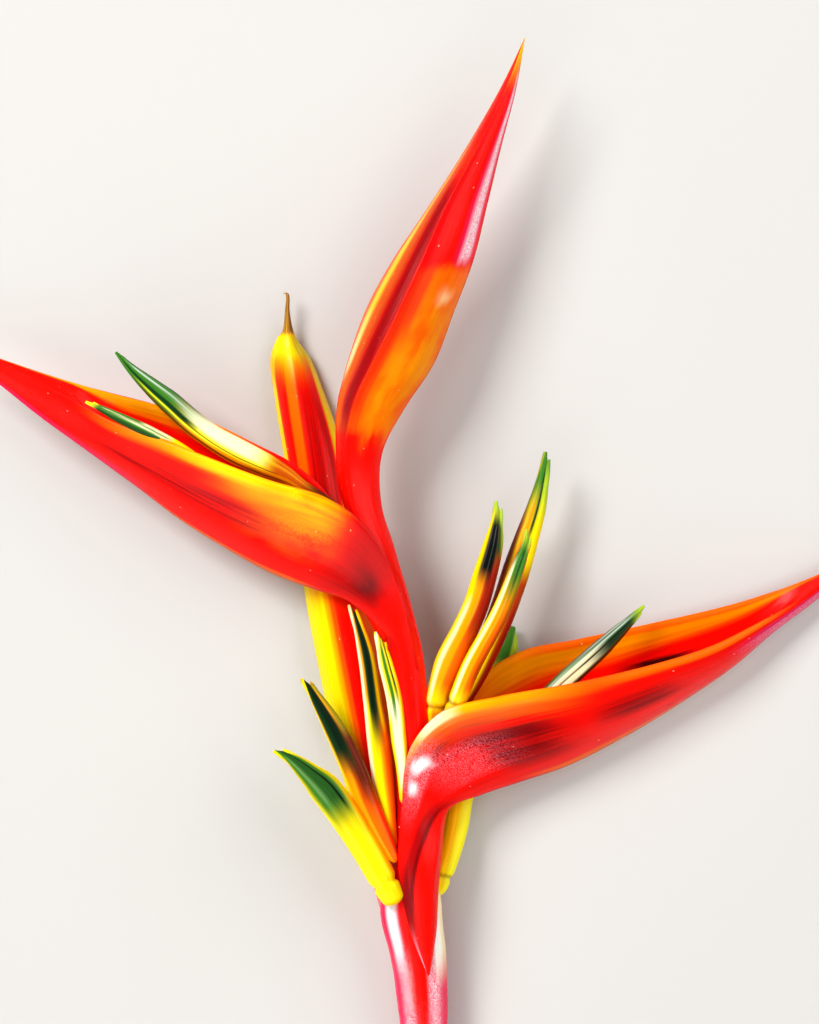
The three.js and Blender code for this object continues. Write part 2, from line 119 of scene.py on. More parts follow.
def plantSkin(name, look):
    # A living cuticle: wax over wet, lightly see-through flesh, so it is glossy and saturated.
    material = bpy.data.materials.new(name)
    material.use_nodes = True
    tree = material.node_tree
    tree.nodes.clear()
    axes = {
        label: addNode(tree, "ShaderNodeAttribute", {"attribute_name": label}).outputs["Fac"]
        for label in look["axes"]
    }
    first, second = look["axes"][1:]

    def cells(acrossMm, alongMm, seed):
        # A place on the skin, counted in cells this wide and this long
        places = [
            (first, look["girth"] / acrossMm, 0),
            ("along", look["length"] / alongMm, 0),
            (second, look["depth"] / acrossMm, seed),
        ]
        return addNode(tree, "ShaderNodeCombineXYZ", {}, {
            axis: addNode(tree, "ShaderNodeMath", multiplyAdd, {0: axes[label], 1: scale, 2: start})
            for axis, (label, scale, start) in enumerate(places)
        })

    speckle = look["speckle"]
    streaks, blotches, speckles = [
        addNode(tree, "ShaderNodeTexNoise", {}, {"Vector": cells(*size), "Scale": 1.0, "Detail": detail})
        for size, detail in (
            (cuticle["streakCells"], cuticle["coarseDetail"]),
            (cuticle["blotchCells"], cuticle["coarseDetail"]),
            ((speckle, speckle * cuticle["speckleStretch"], cuticle["speckleSeed"]), cuticle["fineDetail"]),
        )
    ]
    # The edges of the patches wander with the veins and blotches
    moved = dict(axes)
    for label, source, amount in (
        ("along", blotches, look["wobbleAlong"]), (first, streaks, look["wobbleAcross"]),
    ):
        offset = addNode(tree, "ShaderNodeMath", multiplyAdd, {0: source, 1: amount, 2: -amount / 2})
        moved[label] = addNode(tree, "ShaderNodeMath", add, {0: axes[label], 1: offset})
    edges = {
        edge: addNode(tree, "ShaderNodeMapRange", {}, {0: source, 1: low, 2: high})
        for edge, source, (low, high) in (
            ("streaked", streaks, cuticle["coarseEdge"]), ("blotched", blotches, cuticle["coarseEdge"]),
            ("speckled", speckles, cuticle["fineEdge"]),
        )
    }

    skin = colour(look["base"])
    # Some patches paint the skin's own colours, and some are painted highlights and painted shade
    for mark in look["patches"]:
        mask = mark.get("strength", 1.0)
        for label in look["axes"]:
            if label not in mark:
                continue
            place = moved[label]
            if label == first and "lean" in mark:
                # Slides the patch sideways as it runs along
                lean, middle = mark["lean"], sum(mark["along"]) / 2
                slide = addNode(tree, "ShaderNodeMath", multiplyAdd,
                                {0: axes["along"], 1: -lean, 2: lean * middle})
                place = addNode(tree, "ShaderNodeMath", add, {0: place, 1: slide})
            softness = "soft" + label.title()
            soft = mark.get(softness, look[softness])
            for edge, start in zip(mark[label], (0.0, 1.0)):
                fade = addNode(tree, "ShaderNodeMapRange", {"interpolation_type": "SMOOTHSTEP"},
                               {0: place, 1: edge - soft, 2: edge + soft, 3: start, 4: 1.0 - start})
                mask = addNode(tree, "ShaderNodeMath", multiply, {0: mask, 1: fade})
        if "edge" in mark:
            mask = addNode(tree, "ShaderNodeMath", multiply, {0: mask, 1: edges[mark["edge"]]})
        skin = addNode(tree, "ShaderNodeMix", {"data_type": "RGBA"},
                       {0: mask, 6: skin, 7: colour(mark["tint"])}).outputs[2]

    # A few pale specks of dust and pollen
    specks = addNode(tree, "ShaderNodeTexVoronoi", {},
                     {"Vector": cells(*cuticle["dustCells"]), "Scale": 1.0}).outputs
    low, high = cuticle["dustEdge"]
    dot = addNode(tree, "ShaderNodeMapRange", {},
                  {0: specks["Distance"], 1: low, 2: high, 3: cuticle["dustStrength"], 4: 0.0})
    lot = addNode(tree, "ShaderNodeSeparateColor", {}, {0: specks["Color"]})
    chosen = addNode(tree, "ShaderNodeMath", {"operation": "GREATER_THAN"}, {0: lot, 1: cuticle["dustFrom"]})
    dust = addNode(tree, "ShaderNodeMath", multiply, {0: dot, 1: chosen})
    skin = addNode(tree, "ShaderNodeMix", {"data_type": "RGBA"},
                   {0: dust, 6: skin, 7: colour("cream")}).outputs[2]

    # Parallel veins darken the skin a little, and a fine grain breaks up the gloss
    low, high = cuticle["shadeEdge"]
    darker, lighter = cuticle["veinShade"]
    veins = addNode(tree, "ShaderNodeMapRange", {}, {0: streaks, 1: low, 2: high, 3: darker, 4: lighter})
    shade = addNode(tree, "ShaderNodeCombineColor", {}, {0: veins, 1: veins, 2: veins})
    shaded = addNode(tree, "ShaderNodeMix", {"data_type": "RGBA", "blend_type": "MULTIPLY"},
                     {0: 1.0, 6: skin, 7: shade}).outputs[2]
    height = addNode(tree, "ShaderNodeMath", multiplyAdd, {0: speckles, 1: cuticle["grain"], 2: streaks})
    bump = addNode(tree, "ShaderNodeBump", {}, {"Strength": 0.2, "Distance": 0.0003, "Height": height})
    glossy, rough = [look["roughness"] + change for change in cuticle["glossChange"]]
    gloss = addNode(tree, "ShaderNodeMapRange", {}, {0: blotches, 1: low, 2: high, 3: glossy, 4: rough})
    shader = addNode(tree, "ShaderNodeBsdfPrincipled", {}, {
        "Base Color": shaded, "Roughness": gloss, "Normal": bump,
        "Specular IOR Level": 0.09, "Coat Weight": 0.04, "Coat Roughness": 0.12,
        "Subsurface Weight": 0.05, "Subsurface Scale": 0.001, "Subsurface Radius": (1.0, 0.35, 0.15),
    })
    addNode(tree, "ShaderNodeOutputMaterial", {}, {0: shader})
    return material


# Shapes

def smoothRun(points):
    # Centripetal Catmull-Rom through the points, indexed by their order from 0 to 1
    points = [Vector(p) for p in points]
    touching = 1e-4

    def at(t):
        last = len(points) - 1
        place = min(max(t, 0), 1) * last
        i = min(int(place), last - 1)
        w = place - i
        p1, p2 = points[i], points[i + 1]
        p0 = points[i - 1] if i > 0 else 2 * p1 - p2
        p3 = points[i + 2] if i + 2 <= last else 2 * p2 - p1
        d0, d1, d2 = [(b - a).length ** 0.5 for a, b in ((p0, p1), (p1, p2), (p2, p3))]
        d1 = d1 if d1 > touching else 1
        d0 = d0 if d0 > touching else d1
        d2 = d2 if d2 > touching else d1
        m1 = ((p1 - p0) / d0 - (p2 - p0) / (d0 + d1) + (p2 - p1) / d1) * d1
        m2 = ((p2 - p1) / d1 - (p3 - p1) / (d1 + d2) + (p3 - p2) / d2) * d1
        a = 2 * p1 - 2 * p2 + m1 + m2
        b = -3 * p1 + 3 * p2 - 2 * m1 - m2
        return a * w ** 3 + b * w ** 2 + m1 * w + p1

    return at


def heading(run, t, step):
    return (run(min(t + step, 1)) - run(max(t - step, 0))).normalized()


def smoothstep(a, b, x):
    w = min(max((x - a) / (b - a), 0), 1)
    return w * w * (3 - 2 * w)


def turnOutward(mesh):
    work = bmesh.new()
    work.from_mesh(mesh)
    if work.calc_volume(signed=True) < 0:
        bmesh.ops.reverse_faces(work, faces=work.faces)
        work.to_mesh(mesh)
    work.free()


def insideBox(point):
    low, high = cadBox
    return Vector([min(max(p, a), b) for p, a, b in zip(point, low, high)])


def finishPiece(name, mesh, material):
    turnOutward(mesh)
    for vertex in mesh.vertices:
        vertex.co = insideBox(vertex.co)
    mesh.shade_smooth()
    mesh.materials.clear()
    mesh.materials.append(material)
    piece = bpy.data.objects.new(name + "_skin", mesh)
    bpy.context.scene.collection.objects.link(piece)
    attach(piece, "root")
    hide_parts(name)
    print("made", piece.name, len(mesh.polygons), "faces")


def loftMesh(name, rings, startPoint, endPoint, labels, startLabels, endLabels):
    # Rings of equal length, closed on a point at both ends, with one value of each label a vertex
    sides = len(rings[0])
    verts = [p for ring in rings for p in ring] + [startPoint, endPoint]
    startIndex, endIndex = len(verts) - 2, len(verts) - 1
    faces = []
    for row in range(len(rings) - 1):
        for side in range(sides):
            after = (side + 1) % sides
            below, above = row * sides, (row + 1) * sides
            faces.append((below + side, below + after, above + after, above + side))
    top = (len(rings) - 1) * sides
    for side in range(sides):
        after = (side + 1) % sides
        faces.append((startIndex, after, side))
        faces.append((endIndex, top + side, top + after))
    mesh = bpy.data.meshes.new(name)
    mesh.from_pydata([Vector(v) * mm + shift for v in verts], [], faces)
    for label, values in labels.items():
        layer = mesh.attributes.new(label, "FLOAT", "POINT")
        layer.data.foreach_set("value", values + [startLabels[label], endLabels[label]])
    mesh.validate()
    return mesh


def wallPoints(rim, keel, otherRim, bulge, steps):
    # One side of a bract, from its rim to just short of the keel, bulging away from the other rim
    chord = keel - rim
    outward = (rim + keel) / 2 - otherRim
    outward = (outward - chord * (outward.dot(chord) / chord.length_squared)).normalized()
    points = []
    for step in range(steps):
        s = step / steps
        points.append(rim + chord * s + outward * (bulge * chord.length * 4 * s * (1 - s)))
    return points


def bractRing(near, keel, far, opened, t, shape):
    # Round the outside from rim to rim, over the far lip, back round the inside and over the near lip
    steps, wall, seed = shape["wallSteps"], shape["wall"], shape["seed"]
    nearWall = wallPoints(near, keel, far, shape["bulge"], steps)
    farWall = wallPoints(far, keel, near, shape["bulge"], steps)
    outside = nearWall + [keel.copy()] + farWall[::-1]
    last = len(outside) - 1
    mouth = (near + far) / 2
    across = far - near
    outOfMouth = mouth - keel
    outOfMouth = (outOfMouth - across * (outOfMouth.dot(across) / across.length_squared)).normalized()
    aim, shutLip = shape["innerAim"], shape["shutLip"]
    waveAcross, waveAlong = shape["waveScale"]
    ribAcross, ribAlong = shape["ribScale"]
    ribSeed = seed + shape["ribSeed"]
    inside = []
    for i, point in enumerate(outside):
        height = abs(i - steps) / steps
        inward = keel.lerp(mouth, aim + (1 - aim) * height) - point
        reach = inward.length
        inward.normalize()
        hollow = point + inward * min(wall, shape["thinWall"] * reach)
        c = (i + 1) / (last + 2)
        shut = near + across * c + outOfMouth * (shape["closure"] * across.length * 4 * c * (1 - c))
        inside.append(shut.lerp(hollow, opened))
        # Low waves and fine ribs, fading out at the thin ends
        size = min(1, reach / shape["fadeReach"])
        wave = noise.noise(Vector((i / last * waveAcross, t * waveAlong, seed))) * shape["waves"]
        ribs = noise.noise(Vector((i / last * ribAcross, t * ribAlong, ribSeed))) * shape["ribs"]
        outside[i] = point - inward * (wave + ribs) * size
    lip = wall * shape["lip"] * (shutLip + (1 - shutLip) * opened) * min(1, across.length / shape["lipMouth"])
    farLip = (outside[last] + inside[last]) / 2 + outOfMouth * lip
    nearLip = (outside[0] + inside[0]) / 2 + outOfMouth * lip
    ring = outside + [farLip] + inside[::-1] + [nearLip]
    shares = [i / last for i in range(last + 1)]
    acrossLabels = shares + [1.0] + shares[::-1] + [0.0]
    insideLabels = [0.0] * (last + 1) + [0.5] + [1.0] * (last + 1) + [0.5]
    return ring, acrossLabels, insideLabels


def bract(name, shape):
    near, keel, far = [smoothRun([row[edge] for row in shape["rows"]]) for edge in range(3)]
    rings = []
    labels = {"along": [], "across": [], "inside": []}
    for station in range(shape["stations"]):
        t = station / shape["stations"]
        opened = 0.0
        if shape["pocket"]:
            a, b, c, d = shape["pocket"]
            opened = smoothstep(a, b, t) * (1 - smoothstep(c, d, t))
        ring, acrossLabels, insideLabels = bractRing(near(t), keel(t), far(t), opened, t, shape)
        rings.append(ring)
        labels["along"] += [t] * len(ring)
        labels["across"] += acrossLabels
        labels["inside"] += insideLabels
    start = {"along": 0.0, "across": 0.5, "inside": 0.0}
    end = {"along": 1.0, "across": 0.5, "inside": 0.0}
    mesh = loftMesh(name, rings, keel(0), keel(1), labels, start, end)
    finishPiece(name, mesh, plantSkin(name + " waxy bract skin", shape))


# A row is the near rim, the keel and the far rim, and the rows run from the sheath to the tip.
# Along is 0 to 1 on that way, across 0 to 1 from near rim to far rim, and inside is 1 in the pocket.
bractDefaults = {
    "slot": "bract_red", "stations": 150, "wallSteps": 22, "wall": 1.3, "thinWall": 0.45, "innerAim": 0.35,
    "bulge": 0.13, "lip": 0.4, "shutLip": 0.25, "lipMouth": 3, "waves": 0.25, "waveScale": (3, 9),
    "ribs": 0.07, "ribScale": (60, 2.5), "ribSeed": 7, "fadeReach": 4,
    "axes": ["along", "across", "inside"], "softAlong": 0.05, "softAcross": 0.025, "softInside": 0.2,
    "depth": 30, "roughness": 0.22, "wobbleAlong": 0.03, "wobbleAcross": 0.05, "speckle": 0.2,
}

# Lower right bract

lowerBract = {
    **bractDefaults, "seed": 1.0, "closure": 0.05, "pocket": (0.32, 0.44, 0.78, 0.94),
    "rows": [
        [(5.1, -64.2, 13.2), (5.3, -64.6, 13.2), (5.7, -64.2, 12.8)],
        [(1.7, -55.4, 14.2), (5.7, -55.4, 14.2), (7.1, -55, 11.8)],
        [(-0.7, -43, 15.6), (6.7, -42.6, 15.4), (7.5, -42.6, 10)],
        [(0.1, -30.4, 17), (9.1, -31.8, 13.4), (8.7, -30.4, 9)],
        [(1.7, -19, 18.4), (16.1, -28.6, 9.6), (11.3, -19.8, 7.4)],
        [(7.7, -12.4, 19.2), (24.1, -25.8, 7.4), (16.5, -5.4, 6.6)],
        [(19.7, -9.2, 19.4), (33.7, -22.6, 5), (24.1, 0, 5.6)],
        [(34.7, -6.6, 18.2), (45.3, -16.8, 2.6), (35.7, 2.6, 3.8)],
        [(49.7, -3.2, 15.4), (57.7, -9.4, 1.3), (49.7, 5.6, 2.7)],
        [(62.7, 0.8, 12), (68.1, -2.2, 0.9), (62.1, 8.4, 2.3)],
        [(72.7, 5.8, 8.8), (76.5, 5.2, 1.6), (72.7, 11.4, 2.6)],
        [(82.1, 11.8, 6.4), (84.5, 11.2, 2.8), (82.1, 14.8, 3.4)],
        [(93.3, 20, 5.4), (93.3, 20, 5.2), (93.3, 20, 5)],
    ],
    "base": "scarlet", "length": 150, "girth": 45,
    "patches": [
        patch("orange", across=(-0.1, 0.05), along=(0.33, 0.6), softAcross=0.03),
        patch("orange", across=(0.0, 0.12), along=(0.36, 0.56), strength=0.75, edge="streaked",
              softAcross=0.04),
        patch("amber", across=(-0.1, 0.03), along=(0.34, 0.56), softAcross=0.025),
        patch("yellow", across=(-0.1, 0.015), along=(0.32, 0.46), strength=0.6, softAcross=0.02),
        # painted highlight: a cream glint along the near rim
        patch("cream", across=(-0.1, 0.03), along=(0.365, 0.43), strength=0.9, softAcross=0.015,
              softAlong=0.02),
        patch("orange", across=(-0.1, 0.03), along=(0.6, 0.86), softAcross=0.015),
        patch("wine", across=(0.08, 0.18), along=(0.33, 0.47), strength=0.9, edge="streaked"),
        patch("wine", across=(0.12, 0.38), along=(0.44, 0.525), strength=0.5, softAcross=0.06,
              softAlong=0.02),
        patch("maroon", across=(0.1, 0.36), along=(0.43, 0.54), strength=0.75, edge="streaked",
              softAcross=0.06, softAlong=0.03),
        patch("wine", across=(0.16, 0.26), along=(0.6, 0.67), strength=0.7, softAcross=0.05, softAlong=0.03),
        patch("maroon", across=(0.15, 0.27), along=(0.59, 0.68), strength=0.7, edge="streaked",
              softAcross=0.05, softAlong=0.03),
        # painted sheen: pale pink speckles over the near wall
        patch("blush", across=(0.14, 0.34), along=(0.33, 0.46), strength=0.3, edge="speckled"),
        patch("orange", across=(0.45, 0.54), along=(0.46, 0.82), softAcross=0.015),
        patch("magenta", across=(0.09, 0.6), along=(0.8, 1.1), inside=(-1, 0.3), strength=0.8),
        # painted highlight: pale pink sparkles over the magenta tip
        patch("blush", across=(0.13, 0.4), along=(0.8, 1.1), inside=(-1, 0.3), strength=0.8,
              edge="speckled"),
        # painted shade: darker red down the sheath's left strip and in the groove beside its keel ridge
        patch("wine", across=(-0.1, 0.2), along=(0.05, 0.16), strength=0.5),
        patch("wine", across=(0.13, 0.28), along=(0.1, 0.27), lean=1.8, strength=0.8, softAcross=0.05),
        patch("maroon", across=(0.23, 0.29), along=(0.1, 0.26), lean=1.8, strength=0.7),
        patch("maroon", across=(-0.1, 0.14), along=(0.1, 0.15), strength=0.7),
        # painted highlight: a pale pink line along the sheath's left edge near its tip
        patch("blush", across=(-0.1, 0.1), along=(-0.1, 0.05), strength=0.9),
        # painted highlights: pale pink haze and two white glints on the shoulder
        patch("blush", across=(0.0, 0.16), along=(0.26, 0.36), strength=0.7, edge="speckled"),
        patch("white", across=(0.05, 0.11), along=(0.272, 0.294), strength=0.8, softAcross=0.025,
              softAlong=0.01),
        patch("white", across=(0.055, 0.115), along=(0.308, 0.345), lean=1.3, strength=0.8, softAcross=0.02,
              softAlong=0.012),
        patch("scarlet", across=(-1, 2), inside=(0.5, 2)),
        # painted shade: maroon inside the pocket, darkest in a black slit where it is deep
        patch("maroon", across=(0.1, 0.78), along=(0.36, 0.47), inside=(0.5, 2), strength=0.9),
        patch("maroon", across=(0.45, 0.74), along=(0.6, 0.7), inside=(0.5, 2), strength=0.9,
              softAcross=0.05),
        patch("black", across=(0.725, 0.79), along=(0.62, 0.69), lean=-0.6, inside=(0.5, 2), strength=0.95,
              softAcross=0.012, softAlong=0.025),
        patch("orange", across=(0.88, 2), along=(0.3, 0.6), inside=(0.4, 2), softAcross=0.05),
        patch("orange", across=(0.86, 2), along=(0.56, 0.95), inside=(0.4, 2), softAcross=0.04),
        patch("amber", across=(0.9, 2), along=(0.42, 0.86), inside=(0.4, 2), softAcross=0.04),
        patch("orange", across=(0.975, 2), along=(0.5, 0.9), inside=(0.4, 2), softAcross=0.012),
    ],
}

# Middle left bract

middleBract = {
    **bractDefaults, "seed": 2.0, "closure": 0.05, "pocket": (0.32, 0.44, 0.7, 0.84),
    "rows": [
        [(1.9, -12.8, 18), (1.7, -12.6, 17.6), (1.5, -12.2, 17.2)],
        [(2.7, -3, 19.2), (0.1, -5.8, 16.4), (-0.9, -5.4, 12.6)],
        [(1.1, 6.2, 20.2), (-4.3, 4.6, 15.6), (-5.9, 5.8, 11.8)],
        [(-2.3, 17.4, 21.4), (-10.3, 10.2, 14.6), (-11.3, 18.2, 12)],
        [(-8.3, 26.4, 23.2), (-16.7, 12.4, 13), (-14.3, 30.6, 12.2)],
        [(-15.3, 30.6, 23.8), (-25.3, 15.6, 12.4), (-21.3, 37.2, 12.2)],
        [(-26.3, 33.8, 23.2), (-34.3, 20.4, 11.6), (-29.9, 42, 12)],
        [(-37.3, 37.8, 21.6), (-43.9, 26.4, 11), (-39.3, 46.6, 12)],
        [(-48.3, 42.2, 19.4), (-53.3, 33.2, 11), (-48.7, 49.6, 12.4)],
        [(-57.9, 45.8, 17.4), (-62.3, 39.8, 11.8), (-58.7, 52.2, 13)],
        [(-67.3, 51.4, 15.6), (-70.7, 46, 12.6), (-67.5, 54.6, 13.4)],
        [(-78.3, 56.8, 14.2), (-79.5, 53, 12.8), (-78.3, 58.2, 13.4)],
        [(-93.3, 63.6, 13.4), (-93.3, 63.6, 13.2), (-93.3, 63.6, 13)],
    ],
    "base": "scarlet", "length": 140, "girth": 45,
    "patches": [
        patch("orange", across=(-0.1, 0.14), along=(0.38, 0.56), softAcross=0.04),
        patch("orange", across=(-0.1, 0.06), along=(0.5, 0.77), softAcross=0.035),
        patch("amber", across=(-0.1, 0.1), along=(0.4, 0.54), softAcross=0.04),
        patch("amber", across=(-0.1, 0.03), along=(0.5, 0.7), softAcross=0.025),
        patch("yellow", across=(-0.1, 0.04), along=(0.42, 0.62), strength=0.8, softAcross=0.025),
        patch("orange", across=(-0.1, 0.3), along=(0.38, 0.5), strength=0.9, edge="blotched",
              softAcross=0.08),
        patch("yellow", across=(0.0, 0.16), along=(0.4, 0.47), strength=0.5, edge="streaked",
              softAcross=0.06),
        patch("amber", across=(0.0, 0.22), along=(0.38, 0.48), strength=0.7, edge="speckled",
              softAcross=0.06),
        patch("wine", across=(0.17, 0.28), along=(0.48, 0.76), strength=0.85, edge="streaked"),
        # painted shade: dark red to maroon at the base, where the near wall meets the column
        patch("wine", across=(-0.1, 0.45), along=(0.22, 0.35), strength=0.65, softAcross=0.08),
        patch("maroon", across=(0.16, 0.36), along=(0.235, 0.29), strength=0.75, softAcross=0.07,
              softAlong=0.03),
        patch("rose", across=(0.42, 0.58), along=(0.68, 1.1), strength=0.7),
        patch("orange", across=(0.475, 0.53), along=(0.36, 0.62), softAcross=0.008),
        patch("scarlet", across=(-1, 2), inside=(0.5, 2)),
        # painted shade: maroon deep inside the pocket
        patch("maroon", across=(0.1, 0.95), along=(0.28, 0.42), inside=(0.5, 2), strength=0.9),
        patch("orange", across=(0.92, 2), along=(0.5, 0.97), inside=(0.4, 2), softAcross=0.03),
        patch("amber", across=(0.95, 2), along=(0.55, 0.86), inside=(0.4, 2), softAcross=0.03),
    ],
}

# Top bract

topBract = {
    **bractDefaults, "seed": 3.0, "closure": 0.15, "pocket": None,
    "rows": [
        [(4.9, -8.8, 14.6), (5.3, -9, 14.2), (4.9, -8.8, 13.8)],
        [(2.1, -0.4, 18.4), (4.3, -0.4, 14.6), (2.5, -0.4, 11.2)],
        [(-1.9, 10.6, 19.2), (1.5, 11.2, 15.4), (-1.1, 11.4, 11.8)],
        [(-6.3, 21, 20), (-1.3, 21, 16.2), (-7.1, 22.2, 11.6)],
        [(-10.3, 30.6, 20.8), (-4.1, 30, 16.8), (-11.5, 32.2, 12)],
        [(-11.1, 39.6, 21.8), (-3.9, 39.6, 17), (-12.3, 41.6, 12.6)],
        [(-9.5, 49.6, 22.8), (0.5, 48.6, 17), (-12.5, 50.2, 13.4)],
        [(-5.5, 58.2, 23.4), (6.7, 58.2, 16.6), (-10.7, 58.2, 14)],
        [(-0.7, 67.8, 23.6), (10.7, 68.6, 16.2), (-6.7, 69.4, 14.4)],
        [(4.1, 78.2, 23.2), (14.3, 78.6, 16), (-1.9, 78.2, 14.8)],
        [(8.9, 89, 22.2), (17.1, 89.4, 16.2), (4.5, 87.8, 15.6)],
        [(14.9, 100.2, 20.8), (19.9, 101, 16.8), (12.5, 100.2, 16.6)],
        [(20.7, 112.2, 19.2), (22.9, 112.6, 17.4), (19.7, 112.6, 17.4)],
        [(24.7, 123, 18.2), (24.7, 123, 18), (24.7, 123, 17.8)],
    ],
    "base": "scarlet", "length": 145, "girth": 34,
    "patches": [
        patch("orange", across=(-0.1, 0.6), along=(0.422, 0.68), softAlong=0.012),
        patch("amber", across=(0.12, 0.52), along=(0.43, 0.64), strength=0.9, edge="blotched",
              softAcross=0.08),
        patch("rust", across=(0.12, 0.52), along=(0.44, 0.64), strength=0.3, edge="streaked"),
        patch("scarlet", across=(-0.1, 0.14), along=(0.58, 0.7), strength=0.8, edge="streaked"),
        # painted shade: darker crimson along the crease beside the rolled margin
        patch("crimson", across=(-0.1, 0.08), along=(0.42, 0.9), strength=0.8, softAcross=0.05),
        patch("cream", across=(0.27, 0.38), along=(0.63, 0.645), strength=0.5, softAcross=0.06,
              softAlong=0.012),
        # painted highlight: a pink-white streak near the keel, with a rose fringe
        patch("rose", across=(0.26, 0.46), along=(0.69, 0.97), strength=0.9, softAcross=0.03,
              softAlong=0.012),
        patch("blush", across=(0.31, 0.44), along=(0.69, 0.95), strength=0.9, softAcross=0.025,
              softAlong=0.01),
        patch("white", across=(0.34, 0.42), along=(0.695, 0.92), strength=0.9, edge="speckled",
              softAcross=0.02, softAlong=0.01),
        patch("yellow", across=(-1, 2), along=(0.965, 1.1)),
        patch("orange", across=(-1, 2), along=(0.48, 0.93), inside=(0.5, 2)),
        # painted shade: crimson and wine in the crease of the margin strip
        patch("crimson", across=(-0.1, 0.36), along=(0.42, 0.84), inside=(0.4, 2), softAcross=0.1),
        patch("wine", across=(0.02, 0.24), along=(0.42, 0.82), inside=(0.4, 2), strength=0.9,
              softAcross=0.06),
        patch("scarlet", across=(-0.1, 0.8), along=(0.82, 1.1), inside=(0.4, 2)),
        patch("rust", across=(0.26, 0.6), along=(0.46, 0.84), inside=(0.5, 2), strength=0.7,
              edge="speckled"),
        patch("rust", across=(0.3, 0.52), along=(0.5, 0.84), inside=(0.5, 2), strength=0.6, edge="streaked"),
        patch("amber", across=(0.56, 0.84), along=(0.52, 0.84), inside=(0.5, 2), softAcross=0.06),
        # the margin's yellow ridge is partly its own colour and partly a painted highlight, and the cream
        # patch near its base is a painted highlight
        patch("yellow", across=(0.62, 0.76), along=(0.54, 0.76), inside=(0.5, 2), strength=0.7,
              softAcross=0.06),
        patch("cream", across=(0.6, 0.9), along=(0.51, 0.58), inside=(0.5, 2), strength=0.7,
              softAcross=0.08),
        patch("orange", across=(0.84, 2), along=(0.55, 0.9), inside=(0.4, 2)),
        # painted highlight: a pink glint on the lower margin
        patch("rose", across=(0.6, 2), along=(0.42, 0.5), inside=(0.4, 2), strength=0.8),
    ],
}

# Oldest bract, at the back

backBract = {
    **bractDefaults, "slot": "bract_yellow", "seed": 4.0, "closure": 0.27, "pocket": None,
    "rows": [
        [(2.1, -61.8, 3.6), (0.5, -61.8, 4.4), (-1.1, -61.4, 5)],
        [(4.5, -50.4, 3.8), (-0.7, -50.4, 8.4), (-4.7, -50, 7.4)],
        [(2.1, -39.4, 5.2), (-3.3, -39.4, 10), (-7.9, -39, 6.6)],
        [(-0.3, -27.4, 5.4), (-6.3, -27.8, 10.2), (-11.3, -27, 5.8)],
        [(-1.9, -15.8, 5), (-8.7, -16.6, 10.2), (-14.1, -15.4, 5.2)],
        [(-3.3, -5.4, 4.6), (-10.9, -6, 10), (-16.3, -5.2, 4.8)],
        [(-5.9, 7.8, 4.4), (-13.5, 7.4, 9.6), (-19.1, 8.4, 4.4)],
        [(-9.5, 26.6, 4), (-16.9, 25.2, 9.2), (-21.5, 26.6, 4)],
        [(-12.1, 41.6, 3.4), (-19.3, 40.6, 9), (-24.1, 41.2, 3.4)],
        [(-15.7, 52.6, 2.4), (-20.9, 51.4, 8.2), (-25.7, 52.2, 2.4)],
        [(-18.5, 59.4, 2.2), (-21.9, 58.6, 6.8), (-26.5, 59, 2.2)],
        [(-20.7, 62.4, 2.8), (-22.5, 62, 5.4), (-25.1, 63.2, 3)],
        [(-21.8, 64.8, 3.6), (-22.9, 64.8, 4.9), (-24, 64.6, 3.6)],
        [(-22.5, 68.6, 4), (-23, 68.6, 4.9), (-23.5, 68.6, 4)],
        [(-22.8, 72.2, 4.3), (-23.1, 72.3, 4.8), (-23.4, 72.1, 4.3)],
        [(-24.1, 72.1, 4.5), (-24.1, 72.1, 4.6), (-24.1, 72.1, 4.5)],
    ],
    "base": "orange", "length": 140, "girth": 34,
    "patches": [
        patch("amber", across=(0.54, 2), along=(-1, 0.43)),
        patch("yellow", across=(0.6, 2), along=(-1, 0.43), softAcross=0.05),
        patch("yellow", across=(0.84, 2), along=(0.4, 0.64)),
        patch("yellow", across=(-1, 2), along=(0.66, 0.79)),
        patch("scarlet", across=(0.64, 0.82), along=(0.44, 0.65)),
        patch("scarlet", across=(0.16, 0.5), along=(0.43, 0.65)),
        patch("scarlet", across=(0.24, 0.49), along=(-1, 0.44), softAcross=0.035),
        # painted shade: dark red and olive down the right half of the channel, broken into streaks
        patch("wine", across=(0.2, 0.46), along=(0.44, 0.6), strength=0.7, edge="streaked"),
        patch("yellow", across=(-1, 0.15), along=(0.48, 0.72)),
        patch("olive", across=(0.06, 0.4), along=(0.66, 0.79), strength=0.7, edge="streaked",
              softAcross=0.08),
        patch("rose", across=(-1, 2), along=(-1, 0.1), strength=0.9),
        # painted highlight: pale pink speckles on the left of the base
        patch("blush", across=(0.6, 2), along=(-1, 0.1), strength=0.8, edge="speckled"),
        patch("straw", across=(-1, 2), along=(0.79, 1.1), softAlong=0.015),
        patch("brown", across=(-1, 2), along=(0.785, 1.1), strength=0.9, edge="streaked", softAlong=0.01),
        patch("brown", across=(0.02, 0.35), along=(0.79, 1.1), strength=0.7, softAlong=0.015),
    ],
}

bract("bract_lower_right", lowerBract)
bract("bract_middle_left", middleBract)
bract("bract_top", topBract)
bract("bract_back", backBract)

# Stem and rachis

